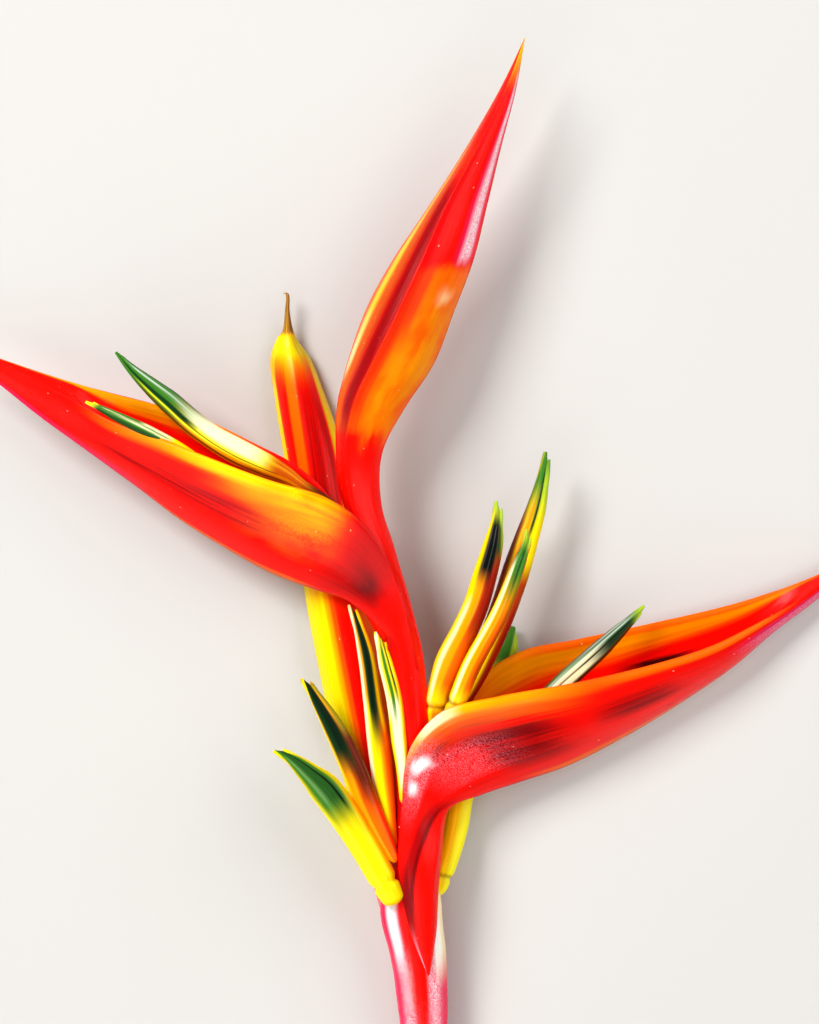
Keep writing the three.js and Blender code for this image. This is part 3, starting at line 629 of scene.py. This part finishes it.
# A row is the middle, half the width and half the depth, and side and up run from -1 to 1.
stem = {
    "stations": 190, "sides": 72, "ahead": 0.01,
    "waves": 0.22, "waveScale": 14, "ribs": 0.07, "ribScale": (9, 3),
    "cutRings": (0.97, 0.9, 0.8, 0.7, 0.6, 0.5, 0.4, 0.3, 0.2, 0.1), "cutCentre": -0.03,
    "rows": [
        (4.5, -123, 4.2, 4.6, 4.6), (4.5, -99.4, 4.9, 4.6, 4.6), (4.5, -77.4, 6.2, 4.6, 4.6),
        (4, -67.4, 7.2, 5.2, 5), (3.1, -59, 8.2, 5.7, 5), (1.9, -51.4, 9.2, 6.2, 4.8),
        (2.1, -45.4, 9.9, 5.2, 4.5), (2.5, -39.4, 10.6, 4.4, 4.2), (2.9, -30.4, 11.8, 4, 4),
        (2.5, -21.4, 12.9, 3.8, 3.9), (1.5, -9.4, 14, 3.8, 3.8), (0.5, 0.6, 14.7, 3.6, 3.6),
        (-1.7, 10.6, 15.3, 3.3, 3.3), (-4.5, 19.4, 15.6, 2.9, 2.9), (-7.1, 28.2, 15.9, 2, 2),
    ],
    "axes": ["along", "side", "up"], "softAlong": 0.04, "softSide": 0.16, "softUp": 0.2,
    "base": "scarlet", "length": 152, "girth": 5, "depth": 5, "roughness": 0.22,
    "wobbleAlong": 0, "wobbleAcross": 0.05, "speckle": 0.15,
    "patches": [
        patch("rose", side=(0.25, 2), along=(-1, 0.38), strength=0.9),
        patch("rose", side=(-2, -0.25), along=(-1, 0.4), strength=0.9),
        # painted highlights: pale pink speckles down both sides of the stem
        patch("blush", side=(0.2, 0.8), up=(0.1, 2), along=(-1, 0.36), edge="speckled"),
        patch("blush", side=(-0.75, -0.2), up=(0.1, 2), along=(-1, 0.4), edge="speckled"),
        patch("scarlet", side=(-0.45, 0.3), up=(0.1, 2), along=(0.17, 0.45), softSide=0.12),
        # painted highlights: white streaks down both sides of the stem
        patch("white", side=(-0.8, -0.5), up=(0.1, 2), along=(0.27, 0.4), strength=0.85, softSide=0.1),
        patch("white", side=(-0.7, -0.35), up=(0.1, 2), along=(0.1, 0.27), strength=0.7, edge="speckled"),
        patch("white", side=(0.35, 0.7), up=(0.1, 2), along=(0.05, 0.3), strength=0.7, edge="speckled"),
        # a pale strip on the right side: the cream is partly its own colour, the white is a painted highlight
        patch("cream", side=(0.6, 2), up=(-0.3, 2), along=(0.25, 0.42), strength=0.9, softSide=0.08),
        patch("white", side=(0.62, 0.88), up=(0, 2), along=(0.25, 0.38), strength=0.8, softSide=0.08),
        patch("wine", side=(-2, -0.6), along=(0.45, 1.1), strength=0.6),
        patch("pith", along=(-1, -0.003), softAlong=0.001),
        patch("rose", along=(-0.007, -0.0055), strength=0.6, softAlong=0.001),
        patch("rose", along=(-0.0115, -0.0105), strength=0.4, softAlong=0.001),
        patch("brown", along=(-1, -0.012), strength=0.6, edge="speckled", softAlong=0.002),
    ],
}


def stemMesh():
    middle = smoothRun([row[:3] for row in stem["rows"]])
    size = smoothRun([(row[3], row[4], 0) for row in stem["rows"]])
    ribRound, ribAlong = stem["ribScale"]
    rings = []
    labels = {"along": [], "side": [], "up": []}
    for station in range(stem["stations"]):
        t = station / (stem["stations"] - 1)
        centre = middle(t)
        along = heading(middle, t, stem["ahead"])
        across = Vector((0, 0, 1)).cross(along).normalized()
        upward = along.cross(across)
        width, depth = size(t)[:2]
        ring = []
        for side in range(stem["sides"]):
            angle = 2 * math.pi * side / stem["sides"]
            c, s = math.cos(angle), math.sin(angle)
            wave = noise.noise(Vector((c, s, t * stem["waveScale"]))) * stem["waves"]
            ribs = noise.noise(Vector((c * ribRound, s * ribRound, t * ribAlong))) * stem["ribs"]
            grow = 1 + (wave + ribs) / width
            ring.append(centre + across * (width * c * grow) + upward * (depth * s * grow))
            labels["along"].append(t)
            labels["side"].append(-c)
            labels["up"].append(s)
        rings.append(ring)
    # The cut face has rings of its own, where along runs below zero towards the centre
    rim = rings[0]
    rimSide, rimUp = labels["side"][:len(rim)], labels["up"][:len(rim)]
    for radius in stem["cutRings"]:
        rings.insert(0, [middle(0).lerp(point, radius) for point in rim])
        labels["along"] = [stem["cutCentre"] * (1 - radius)] * len(rim) + labels["along"]
        labels["side"] = [value * radius for value in rimSide] + labels["side"]
        labels["up"] = [value * radius for value in rimUp] + labels["up"]
    start = {"along": stem["cutCentre"], "side": 0.0, "up": 0.0}
    end = {"along": 1.0, "side": 0.0, "up": 0.0}
    return loftMesh("stem_and_rachis", rings, middle(0), middle(1), labels, start, end)


finishPiece("stem_and_rachis", stemMesh(), plantSkin("rose red stem skin", stem))

# Florets

# A row is the middle and half the width. A sepal is its place to the side, its breadth and how much
# shorter it is. Side runs from the left edge, -1, to the right edge, 1, looking along the floret to its tip.
floretDefaults = {
    "steps": 72, "crowding": 1.3, "ahead": 0.02, "thinnest": 0.12, "taper": 0.1, "blunt": 0.01,
    "rounding": 0.035, "waists": [], "waistDepth": 0.22, "waistLength": 0.014, "tipsFrom": 0.88,
    "sepals": [(0.3, 0.62, 1.4)], "sepalRise": (0.25, 0.45), "sepalLift": 0.25, "shorterFrom": 0.86,
    "axes": ["along", "side", "up"], "softAlong": 0.05, "softSide": 0.16, "softUp": 0.25,
    "length": 50, "girth": 3, "depth": 3, "roughness": 0.28,
    "wobbleAlong": 0.03, "wobbleAcross": 0.2, "speckle": 0.2,
}
florets = {
    "floret_left_1": {"tips": 1.1, "waists": [0.12], "base": "yellow", "rows": [
        (-1.1, -50.2, 14.4, 2.1), (-3.3, -46, 15.2, 2.8), (-8.1, -37.4, 15.8, 3.2),
        (-14.9, -27.6, 16.2, 3.5), (-18.5, -24, 16.6, 2.5), (-22.3, -20.8, 17, 1.3),
        (-25.3, -19, 17.2, 0.3),
    ], "patches": [
        # painted highlight: lighter lemon down the left side
        patch("lemon", side=(-2, -0.2), along=(0.05, 0.7), strength=0.6),
        patch("orange", side=(0.75, 2), along=(0.1, 0.6), strength=0.7),
        patch("olive", side=(-0.75, 0.7), along=(0.46, 1.1), strength=0.7, softAlong=0.1),
        patch("leaf", side=(-0.75, 0.75), along=(0.54, 1.1), softAlong=0.08),
        # painted highlight: a sage sheen on the green
        patch("sage", side=(-0.5, -0.1), along=(0.6, 0.92), strength=0.6, edge="streaked"),
        patch("deepGreen", side=(-0.2, 0.6), along=(0.56, 1.1), strength=0.7, softAlong=0.08),
        patch("black", side=(0.38, 0.52), along=(0.55, 1.1), softSide=0.07),
    ]},
    "floret_left_2": {"tips": 1.2, "base": "amber", "rows": [
        (-1.1, -41.8, 15.2, 0.9), (-4.1, -35.8, 15.4, 1.9), (-6.9, -29.8, 15.2, 2.4),
        (-9.7, -23, 15, 2.6), (-13.5, -15, 15.2, 2.3), (-17.1, -8.8, 15.6, 1.4),
        (-19.5, -4.8, 16, 0.3),
    ], "patches": [
        patch("orange", side=(-0.3, 2), along=(-1, 0.4)),
        patch("scarlet", side=(0.6, 2), along=(-1, 0.36), strength=0.8),
        patch("rust", side=(-0.2, 2), along=(0.3, 0.7), softAlong=0.1),
        patch("maroon", side=(0.1, 2), along=(0.36, 0.74), strength=0.8, softAlong=0.1),
        patch("deepGreen", side=(-0.8, 0.4), along=(0.5, 1.1), softAlong=0.12),
        patch("black", side=(-0.4, 0.3), along=(0.55, 1.1), strength=0.7, softAlong=0.1),
        patch("olive", side=(0.55, 2), along=(0.68, 1.1), strength=0.9),
        patch("yellow", side=(-2, -0.8), along=(-1, 1.1), softSide=0.08),
    ]},
    "floret_left_3": {"tips": 1.0, "base": "amber", "rows": [
        (-1.5, -39.4, 13.6, 0.8), (-2.7, -31.8, 13.2, 1.6), (-3.7, -25.4, 13, 2.2),
        (-4.5, -18.4, 13, 2.4), (-5.7, -10.4, 13, 2), (-7.1, -0.4, 13, 1.8),
        (-8.9, 6.2, 13, 1), (-10.1, 9.8, 13, 0.3),
    ], "patches": [
        patch("yellow", side=(-0.7, 0.1), along=(0.1, 0.6)),
        patch("orange", side=(0.35, 2), along=(0.02, 0.5)),
        patch("yellow", side=(0.5, 2), along=(0.5, 1.1), strength=0.6),
        patch("deepGreen", side=(-0.4, 0.5), along=(0.46, 1.1), softAlong=0.12),
        patch("black", side=(-0.15, 0.25), along=(0.48, 0.97), strength=0.85, softAlong=0.1),
        # painted highlight: a cream left edge
        patch("cream", side=(-2, -0.65), along=(0.3, 0.99), softSide=0.1),
    ]},
    "floret_left_4": {"tips": 1.5, "sepals": [(0.42, 0.5, 2.4), (-0.35, 0.45, 1.2)],
        "base": "yellow", "rows": [
        (0.3, -30, 15.6, 0.6), (0.1, -23, 17, 1.2), (-0.5, -17.4, 17.4, 1.6),
        (-1.5, -8.8, 17.4, 1.7), (-3.1, -2.4, 16.8, 1.6), (-3.9, 1, 16.2, 1.2),
        (-4.5, 4.4, 15.8, 0.3),
    ], "patches": [
        patch("cream", side=(-0.6, 0.5), along=(0.1, 0.6)),
        patch("leaf", side=(-0.3, 0.1), along=(0.5, 0.96), softAlong=0.1, softSide=0.1),
        patch("deepGreen", side=(0.3, 0.55), along=(0.6, 0.98), softAlong=0.1, softSide=0.1),
        patch("amber", side=(0.7, 2), along=(-1, 0.7), strength=0.8),
        # painted highlight: a cream left edge
        patch("cream", side=(-2, -0.6), along=(0.5, 1.1)),
    ]},
    "floret_right_1": {"tips": 1.1, "waists": [0.09], "base": "orange", "rows": [
        (6.3, -15, 14.2, 1.2), (6.9, -10.2, 14.6, 2.3), (7.5, -7.4, 14.8, 2.3),
        (9.7, -1.4, 15, 2.9), (12.5, 4.2, 15, 2.8), (14.9, 9.6, 15, 2.7),
        (16.7, 15.6, 15, 2.6), (18.3, 21.6, 15, 2.2), (19.1, 26.6, 15, 1.2),
        (19.5, 30.4, 15, 0.3),
    ], "patches": [
        patch("amber", side=(-0.6, 0.1), along=(0.08, 0.72)),
        # painted highlight: the yellow left edge and the cream strip below
        patch("yellow", side=(-2, -0.5), along=(-1, 0.97)),
        patch("yellow", along=(-1, 0.16), strength=0.7),
        patch("cream", side=(-0.75, -0.5), along=(0.12, 0.55), strength=0.8, softSide=0.12),
        patch("rust", side=(0.1, 2), along=(0.4, 0.76), softAlong=0.1),
        patch("wine", side=(0.3, 2), along=(0.46, 0.78), strength=0.8, softAlong=0.1),
        patch("black", side=(-0.6, 0.45), along=(0.66, 0.97), softAlong=0.06),
        patch("deepGreen", side=(0.35, 0.8), along=(0.76, 1.1)),
        patch("lime", side=(0.7, 2), along=(0.8, 1.1)),
        patch("lime", along=(0.94, 1.1)),
        patch("rust", side=(-0.3, 0.8), along=(0.03, 0.08), strength=0.6, softAlong=0.02),
        patch("brown", along=(0.083, 0.097), strength=0.6, softAlong=0.008),
    ]},
    "floret_right_2": {"tips": 1.0, "waists": [0.2], "base": "orange", "rows": [
        (7.1, -18.4, 15, 1), (9.1, -13.8, 16, 1.3), (11.1, -9.4, 17.2, 1.9),
        (13.9, -2.6, 18, 2), (19.1, 7, 18.4, 1.9), (21.3, 12, 18.4, 1.8),
        (23.5, 18.2, 18.2, 1.5), (24.9, 22, 18, 0.9), (25.5, 24.6, 18, 0.3),
    ], "patches": [
        patch("amber", side=(-2, 0.2), along=(0.2, 0.8)),
        patch("yellow", side=(-2, -0.35), along=(0.2, 0.8)),
        patch("yellow", along=(-1, 0.25), strength=0.9),
        patch("rust", side=(0.55, 2), along=(0.3, 0.78), strength=0.8),
        patch("olive", side=(-0.7, 0.8), along=(0.66, 1.1), strength=0.8, softAlong=0.12),
        patch("leaf", side=(-0.8, 0.8), along=(0.76, 1.1), softAlong=0.08),
        patch("deepGreen", side=(-0.05, 0.3), along=(0.74, 0.98), strength=0.8, softAlong=0.08),
        # painted highlight: a cream strip down the left side
        patch("cream", side=(-0.72, -0.4), along=(0.22, 0.85), strength=0.9, softSide=0.12),
        patch("brown", along=(0.193, 0.207), strength=0.6, softAlong=0.008),
        patch("lime", along=(0.95, 1.1)),
    ]},
    "floret_right_3": {"tips": 0.9, "base": "yellow", "rows": [
        (7.3, -19, 10.6, 0.9), (10.9, -12.2, 10.2, 1.4), (14.5, -5.4, 10, 2.1),
        (17.1, 0.6, 10, 2.6), (19.7, 6.8, 10, 2.8), (21.7, 12.4, 10, 2.9),
        (23.5, 18, 10.2, 2.9), (25.3, 23.6, 10.4, 2.6), (26.9, 28.6, 10.6, 2.2),
        (28.3, 34.6, 10.8, 1.4), (29.3, 40.2, 11, 0.4),
    ], "patches": [
        patch("clay", side=(-2, -0.6), along=(0.1, 0.8)),
        patch("brown", side=(-2, -0.7), along=(0.55, 0.93), strength=0.9, softAlong=0.09),
        patch("rust", side=(0.35, 2), along=(-1, 0.62)),
        patch("wine", side=(0.6, 2), along=(-1, 0.5), strength=0.8),
        patch("amber", side=(-0.5, -0.1), along=(0.35, 0.85)),
        patch("leaf", side=(-0.9, 0.2), along=(0.84, 1.1), softAlong=0.08),
        patch("lime", side=(0.2, 2), along=(0.82, 1.1), softAlong=0.08),
        patch("deepGreen", side=(-0.05, 0.2), along=(0.72, 0.98), softSide=0.1),
        patch("leaf", along=(0.95, 1.1), strength=0.8),
    ]},
    "floret_behind": {"tips": 0.8, "waists": [0.07], "base": "yellow", "rows": [
        (7.3, -48.8, 9.4, 1.1), (8.3, -45, 8.6, 1.9), (9.5, -41, 7.6, 2.2),
        (10.9, -35.4, 6, 2.5), (12.1, -29, 4.4, 2.5), (14.5, -21.4, 2.8, 2.5),
        (17.3, -12.4, 2.1, 2.4), (19.7, -4.4, 2, 2.4), (21.7, 1.6, 2, 2.1),
        (22.9, 5, 2, 0.5),
    ], "patches": [
        # painted shade: amber on the left
        patch("amber", side=(-0.6, 0.1), along=(0.1, 0.8), strength=0.5),
        patch("lemon", side=(0.1, 2), along=(-1, 0.5), strength=0.8),
        patch("leaf", along=(0.84, 1.1)),
        patch("lime", side=(0.3, 2), along=(0.84, 1.1)),
        patch("brown", along=(0.064, 0.076), strength=0.6, softAlong=0.008),
    ]},
    "floret_in_lower_bract": {"tips": 0.6, "base": "leaf", "rows": [
        (18.1, -23, 9.6, 0.9), (22.1, -17.4, 11, 1.4), (27.7, -10.6, 11.4, 1.9),
        (31.7, -6.6, 11.4, 2.1), (35.7, -3, 11.2, 2.1), (39.7, 0.6, 10.8, 2),
        (43.1, 3.8, 10.2, 1.6), (46.3, 6.8, 9.6, 1), (48.9, 9.2, 9.2, 0.3),
    ], "patches": [
        patch("amber", side=(-0.6, 0.6), along=(-1, 0.4)),
        patch("deepGreen", along=(0.62, 0.94), strength=0.8, softAlong=0.08),
        patch("cream", side=(-0.5, 0.6), along=(0.3, 0.7), strength=0.9, softAlong=0.08),
        # painted highlight: silver streaks on the left
        patch("silver", side=(-0.8, -0.3), along=(0.4, 0.92), strength=0.9, edge="streaked"),
        patch("black", side=(0.05, 0.6), along=(0.68, 0.96), strength=0.7, softAlong=0.1),
        patch("brown", side=(0.6, 2), along=(0.15, 0.92)),
        patch("brown", side=(-0.12, 0.02), along=(0.2, 0.75), softSide=0.08),
        patch("brown", side=(-2, -0.8), along=(0.15, 0.8), strength=0.8),
        patch("black", side=(-0.1, 0.06), along=(0.6, 0.97), softSide=0.07),
        patch("lime", along=(0.95, 1.1)),
    ]},
    "floret_in_middle_bract_1": {"tips": 0.3, "base": "amber", "rows": [
        (-12.6, 28.9, 17.2, 0.9), (-19.7, 33.4, 17.4, 1.2), (-23.1, 35.6, 17.2, 1.8),
        (-27.3, 37.6, 17, 2.5), (-32.7, 40.2, 17, 2.8), (-37.9, 43.2, 17, 2.6),
        (-42.1, 46.4, 17, 2.6), (-46.1, 50, 17.2, 2.5), (-49.7, 53, 17.4, 2),
        (-53.5, 56.4, 17.8, 1.2), (-56.9, 60.2, 18, 0.3),
    ], "patches": [
        patch("rust", along=(-1, 0.38), strength=0.9, edge="streaked"),
        patch("maroon", along=(-1, 0.14), strength=0.9),
        patch("lemon", side=(-0.5, 2), along=(0.31, 0.66)),
        # painted highlight: cream along the upper side
        patch("cream", side=(-0.1, 2), along=(0.34, 0.68)),
        patch("leaf", side=(-2, 2), along=(0.64, 1.1), softAlong=0.1),
        # painted highlight: silver streaks
        patch("silver", side=(0.3, 0.8), along=(0.56, 0.94), strength=0.8, edge="streaked"),
        patch("lemon", side=(-0.6, -0.4), along=(0.5, 0.86), strength=0.8, softSide=0.08),
        patch("brown", side=(-0.85, -0.72), along=(0.2, 0.85), softSide=0.07),
        patch("brown", side=(-0.38, -0.3), along=(0.25, 0.72), softSide=0.05),
        patch("deepGreen", side=(-0.35, -0.05), along=(0.6, 0.98), softSide=0.1),
        patch("deepGreen", side=(0.8, 2), along=(0.6, 0.98), strength=0.8),
    ]},
    "floret_in_middle_bract_2": {"tips": 0.5, "base": "leaf", "rows": [
        (-41.1, 39.2, 17.6, 0.8), (-44.9, 41.4, 18.4, 1.1), (-49.1, 43.6, 18.4, 1.2),
        (-53.3, 45.6, 18.2, 1.2), (-57.5, 47.6, 17.9, 1), (-60.7, 49.2, 17.6, 0.6),
        (-62.9, 50.4, 17.4, 0.3),
    ], "patches": [
        patch("deepGreen", side=(-2, -0.2), along=(0.3, 0.92), strength=0.8),
        # painted highlights: cream streaks and a cream patch on the upper side
        patch("cream", side=(0.0, 0.6), along=(0.2, 0.85), strength=0.8, edge="streaked"),
        patch("cream", side=(0.55, 2), along=(0.15, 0.5), strength=0.8),
        patch("yellow", along=(-1, 0.25)),
        patch("lemon", along=(0.93, 1.1)),
    ]},
}


def sweepTree():
    # Sweeps a grooved oval along each line, as wide as the line's own width at each point
    tree = bpy.data.node_groups.new("floret sweep", "GeometryNodeTree")
    face = tree.interface
    face.new_socket("Geometry", in_out="INPUT", socket_type="NodeSocketGeometry")
    for label, kind, value in (
        ("Sides", "NodeSocketInt", 36), ("Flatness", "NodeSocketFloat", 0.85),
        ("Grooves", "NodeSocketFloat", 3.0), ("Groove Depth", "NodeSocketFloat", 0.12),
    ):
        face.new_socket(label, in_out="INPUT", socket_type=kind).default_value = value
    face.new_socket("Skin", in_out="INPUT", socket_type="NodeSocketMaterial")
    face.new_socket("Geometry", in_out="OUTPUT", socket_type="NodeSocketGeometry")
    given = addNode(tree, "NodeGroupInput").outputs

    # The oval: a circle with shallow grooves, flattened
    circle = addNode(tree, "GeometryNodeCurvePrimitiveCircle", {},
                     {"Resolution": given["Sides"], "Radius": 1.0})
    groove = addNode(tree, "GeometryNodeSplineParameter").outputs["Factor"]
    for kind, amount in (
        ("MULTIPLY", given["Grooves"]), ("MULTIPLY", 2 * math.pi), ("SINE", 0.0), ("MAXIMUM", 0.0),
        ("POWER", 5.0), ("MULTIPLY", given["Groove Depth"]),  # the power keeps each groove narrow
    ):
        groove = addNode(tree, "ShaderNodeMath", {"operation": kind}, {0: groove, 1: amount})
    radius = addNode(tree, "ShaderNodeMath", subtract, {0: 1.0, 1: groove})
    position = addNode(tree, "GeometryNodeInputPosition").outputs[0]
    grooved = addNode(tree, "ShaderNodeVectorMath", {"operation": "SCALE"}, {0: position, 3: radius})
    squash = addNode(tree, "ShaderNodeCombineXYZ", {}, {0: 1.0, 1: given["Flatness"], 2: 1.0})
    flattened = addNode(tree, "ShaderNodeVectorMath", multiply, {0: grooved, 1: squash})
    profile = addNode(tree, "GeometryNodeCaptureAttribute", {"domain": "POINT"}, {0: circle})
    profile.capture_items.new("VECTOR", "Round")
    tree.links.new(position, profile.inputs[1])
    oval = addNode(tree, "GeometryNodeSetPosition", {}, {"Geometry": profile, "Position": flattened})

    # The path, which keeps how far along each point is
    named = {
        label: addNode(tree, "GeometryNodeInputNamedAttribute", {"data_type": "FLOAT"}, {"Name": label})
        for label in ("width", "reach", "sideways", "breadth")
    }
    line = addNode(tree, "GeometryNodeMeshToCurve", {}, {0: given["Geometry"]})
    path = addNode(tree, "GeometryNodeCaptureAttribute", {"domain": "POINT"}, {0: line})
    for slot, label in enumerate(("reach", "sideways", "breadth"), 1):
        path.capture_items.new("FLOAT", label)
        tree.links.new(named[label].outputs[0], path.inputs[slot])
    upright = addNode(tree, "GeometryNodeSetCurveNormal", {"mode": "Z_UP"}, {"Curve": path})
    swept = addNode(tree, "GeometryNodeCurveToMesh", {}, {
        "Curve": upright, "Profile Curve": oval, "Scale": named["width"], "Fill Caps": True})
    parts = addNode(tree, "ShaderNodeSeparateXYZ", {}, {0: profile.outputs[1]})
    # Side runs from -1 to 1 over the whole floret, so its colours pass from one sepal to the next
    side = addNode(tree, "ShaderNodeMath", multiplyAdd, {
        0: parts.outputs[0], 1: path.outputs[3], 2: path.outputs[2]})
    stored = swept
    for label, value in (("along", path.outputs[1]), ("side", side), ("up", parts.outputs[1])):
        stored = addNode(tree, "GeometryNodeStoreNamedAttribute", {"data_type": "FLOAT", "domain": "POINT"},
                         {"Geometry": stored, "Name": label, "Value": value})
    real = addNode(tree, "GeometryNodeRealizeInstances", {}, {0: stored})
    skin = addNode(tree, "GeometryNodeSetMaterial", {}, {"Geometry": real, "Material": given["Skin"]})
    addNode(tree, "NodeGroupOutput", {}, {0: skin})
    return tree


def floretSplines(shape):
    # The tube and the free sepals that lie along it, each ending in a tip of its own
    middle = smoothRun([row[:3] for row in shape["rows"]])
    size = smoothRun([(row[3], 0, 0) for row in shape["rows"]])
    steps, thinnest, sepals = shape["steps"], shape["thinnest"], shape["sepals"]
    turns = [(step / steps) ** shape["crowding"] for step in range(steps + 1)]
    places = [middle(t) for t in turns]
    runs = [0.0]
    for before, after in zip(places, places[1:]):
        runs.append(runs[-1] + (after - before).length)
    splines = [[] for part in range(1 + len(sepals))]
    for t, place, run in zip(turns, places, runs):
        share = run / runs[-1]
        along = heading(middle, t, shape["ahead"])
        across = along.cross(Vector((0, 0, 1))).normalized()
        width = size(t).x
        # Rounded at the base, and pinched where the sheath of bracts held it
        width *= max(shape["blunt"], 1 - (1 - min(share / shape["rounding"], 1)) ** 2) ** 0.5
        for waist in shape["waists"]:
            width *= 1 - shape["waistDepth"] * math.exp(-((share - waist) / shape["waistLength"]) ** 2)
        width = max(width, thinnest)
        narrowed = 1 - shape["taper"] * share
        apart = shape["tips"] / 2 * smoothstep(shape["tipsFrom"], 1, share)
        splines[0].append({"place": place - across * apart, "width": max(width * narrowed, thinnest),
                           "reach": share, "sideways": -apart / width, "breadth": narrowed})
        for spline, (side, breadth, shorter) in zip(splines[1:], sepals):
            if share > shape["sepalRise"][0]:
                rise = smoothstep(*shape["sepalRise"], share)
                sideways = side * rise + math.copysign(apart / width, side)
                lift = Vector((0, 0, shape["sepalLift"] * width * rise))
                back = along * (shorter * smoothstep(shape["shorterFrom"], 1, share))
                spline.append({"place": place + across * (sideways * width) + lift - back,
                               "width": max(breadth * width, thinnest), "reach": share,
                               "sideways": sideways, "breadth": breadth})
    return splines


sweep = sweepTree()
skinId = sweep.interface.items_tree["Skin"].identifier


def floret(name, shape):
    material = plantSkin(name + " waxy floret skin", shape)
    points, edges = [], []
    for spline in floretSplines(shape):
        edges += [(len(points) + i, len(points) + i + 1) for i in range(len(spline) - 1)]
        points += spline
    lines = bpy.data.meshes.new(name)
    lines.from_pydata([point["place"] * mm + shift for point in points], edges, [])
    for label, scale in (("width", mm), ("reach", 1), ("sideways", 1), ("breadth", 1)):
        layer = lines.attributes.new(label, "FLOAT", "POINT")
        layer.data.foreach_set("value", [point[label] * scale for point in points])
    path = bpy.data.objects.new(name, lines)
    bpy.context.scene.collection.objects.link(path)
    modifier = path.modifiers.new("sweep", "NODES")
    modifier.node_group = sweep
    modifier[skinId] = material
    bpy.context.view_layer.update()
    mesh = bpy.data.meshes.new_from_object(path.evaluated_get(bpy.context.evaluated_depsgraph_get()))
    bpy.data.objects.remove(path)
    mesh.name = name
    finishPiece(name, mesh, material)


for name, shape in florets.items():
    floret(name, {**floretDefaults, **shape})

# Table, lights and camera

half = 2
corners = [(-half, -half, 0), (half, -half, 0), (half, half, 0), (-half, half, 0)]
floorMesh = bpy.data.meshes.new("table")
floorMesh.from_pydata(corners, [], [(0, 1, 2, 3)])
floor = bpy.data.objects.new("table", floorMesh)
bpy.context.scene.collection.objects.link(floor)
floorMaterial = bpy.data.materials.new("matt pale table paint")
floorMaterial.use_nodes = True
floorShader = floorMaterial.node_tree.nodes["Principled BSDF"]
floorShader.inputs["Base Color"].default_value = colour("floor")
floorShader.inputs["Roughness"].default_value = 0.8
floorMesh.materials.append(floorMaterial)

lights = [
    {"name": "softbox upper left", "place": (-0.84, 0.76, 1.2), "size": 0.6, "watts": 29},
    {"name": "softbox upper right", "place": (1.0, 0.45, 0.95), "size": 1.2, "watts": 12},
    {"name": "softbox below", "place": (-0.3, -1.0, 0.95), "size": 1.4, "watts": 13},
]
target = Vector((0, 0, 0.012))
for light in lights:
    lamp = bpy.data.lights.new(light["name"], "AREA")
    lamp.size = light["size"]
    lamp.energy = light["watts"]
    holder = bpy.data.objects.new(light["name"], lamp)
    holder.location = light["place"]
    holder.rotation_euler = (target - Vector(light["place"])).to_track_quat("-Z", "Y").to_euler()
    bpy.context.scene.collection.objects.link(holder)

world = bpy.data.worlds.new("studio")
world.use_nodes = True
background = world.node_tree.nodes["Background"]
background.inputs["Color"].default_value = (1, 1, 1, 1)
background.inputs["Strength"].default_value = 0.18
bpy.context.scene.world = world

# The photograph's frame is 819 by 1024 pixels, 5 pixels to the millimetre on the flower
photo = {"height": 204.8, "centre": (1.6, 28.2), "flowerZ": 14, "distance": 1500, "sensor": 36}
cameraData = bpy.data.cameras.new("camera")
cameraData.sensor_width = photo["sensor"]
cameraData.lens = photo["sensor"] * photo["distance"] / photo["height"]
cameraData.clip_end = 10
camera = bpy.data.objects.new("camera", cameraData)
camera.location = Vector((*photo["centre"], photo["flowerZ"] + photo["distance"])) * mm + shift
bpy.context.scene.collection.objects.link(camera)
bpy.context.scene.camera = camera
bpy.context.scene.view_settings.view_transform = "Standard"
print("made the table, lights and camera")
